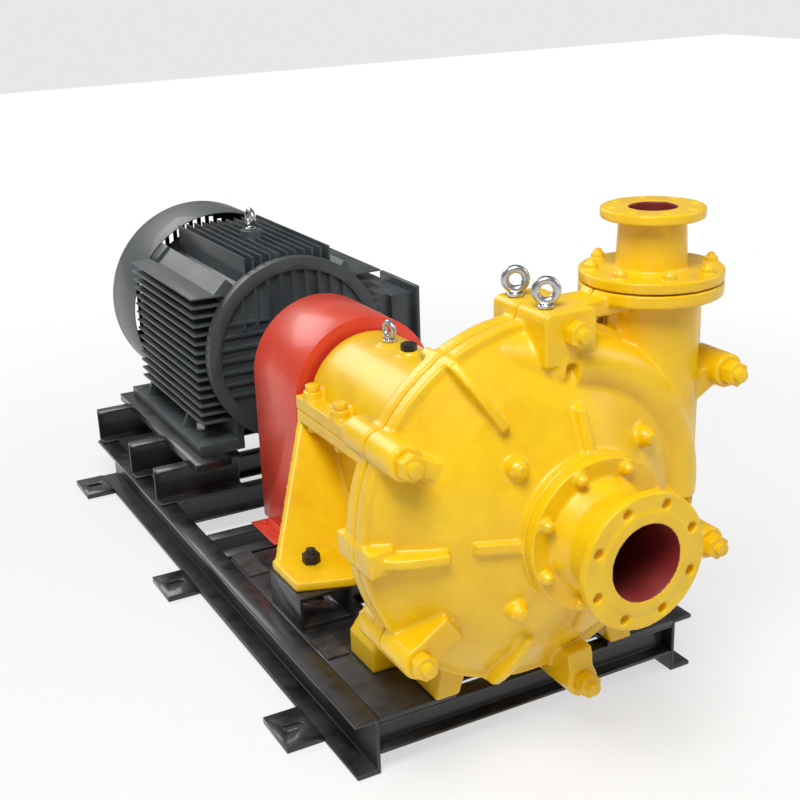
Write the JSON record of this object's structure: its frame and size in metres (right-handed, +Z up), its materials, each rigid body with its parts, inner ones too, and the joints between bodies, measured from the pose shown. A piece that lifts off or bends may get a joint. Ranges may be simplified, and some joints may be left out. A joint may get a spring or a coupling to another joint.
{
  "type": "slurry pump unit",
  "caption": "Horizontal slurry pump coupled to an electric motor on a common steel base, with end suction, upright discharge, bearing bracket and coupling guard.",
  "frame": {"origin": "centre of the foundation bolt pattern, on the floor under the base", "axes": "+Z up; +Y along the shaft from the suction flange to the motor; the discharge stands on the +X side"},
  "size_m": [1.09, 2.51, 1.16],
  "materials": {
    "base_paint": "gloss enamel",
    "yellow_paint": "gloss enamel",
    "bright_steel": "machined",
    "black_steel": "black oxide",
    "fan_plastic": "moulded",
    "red_paint": "gloss enamel",
    "gasket_rubber": "matt",
    "motor_paint": "satin enamel",
    "cover_paint": "satin enamel",
    "hard_iron": "as cast, hardened",
    "dark_iron": "machined",
    "zinc_steel": "zinc plated",
    "packing": "braided, greased",
    "shim_steel": "mill finish"
  },
  "bodies": {
    "pump_unit": {"base_crossmembers": "base_paint", "base_rail_left": "base_paint", "base_rail_right": "base_paint", "bearing_bracket": "yellow_paint", "bearing_cap": "yellow_paint", "bearing_end_covers": "yellow_paint", "bearings": "bright_steel", "bracket_foot_bolts": "black_steel", "bracket_pedestals": "base_paint", "cap_bolts": "yellow_paint", "casing_front": "yellow_paint", "casing_rear": "yellow_paint", "clamp_bolts": "yellow_paint", "coupling_guard": "red_paint", "discharge_gasket": "gasket_rubber", "discharge_stub": "yellow_paint", "drive_end_shield": "motor_paint", "fan_cover": "cover_paint", "foundation_tabs": "base_paint", "front_liner": "hard_iron", "gland_studs": "zinc_steel", "lifting_eye_bolts": "zinc_steel", "motor_foot_bolts": "zinc_steel", "motor_frame": "motor_paint", "motor_risers": "base_paint", "motor_slide_bars": "base_paint", "packing_rings": "packing", "rear_liner": "hard_iron", "shim_plates": "shim_steel", "sole_plates": "base_paint", "stuffing_box": "dark_iron", "suction_stub": "yellow_paint", "terminal_box": "motor_paint", "terminal_box_lid": "motor_paint", "volute_liner": "hard_iron"},
    "pump_rotor": {"impeller": "hard_iron", "pump_shaft": "bright_steel", "shaft_sleeve": "bright_steel", "pump_coupling_half": "dark_iron", "coupling_pins": "bright_steel"},
    "motor_rotor": {"motor_shaft": "bright_steel", "cooling_fan": "fan_plastic", "motor_coupling_half": "dark_iron"},
    "gland": {"gland": "dark_iron", "gland_nuts": "zinc_steel"},
    "breather": {"breather_cap": "black_steel"}
  },
  "joints": [
    {"name": "motor_spin", "type": "hinge", "parent": "pump_unit", "child": "motor_rotor", "pos_m": [0, 0.05, 0.564], "axis": [0, 1, 0], "continuous": true},
    {"name": "pump_spin", "type": "hinge", "parent": "pump_unit", "child": "pump_rotor", "pos_m": [0, -0.45, 0.564], "axis": [0, 1, 0], "continuous": true},
    {"name": "gland_slide", "type": "slide", "parent": "pump_unit", "child": "gland", "axis": [0, 1, 0], "range_m": [0, 0.03]},
    {"name": "breather_lift", "type": "slide", "parent": "pump_unit", "child": "breather", "axis": [0, 0, 1], "range_m": [0, 0.03]}
  ],
  "couplings": [
    {"joint": "pump_spin", "follows": "motor_spin", "ratio": 1}
  ]
}
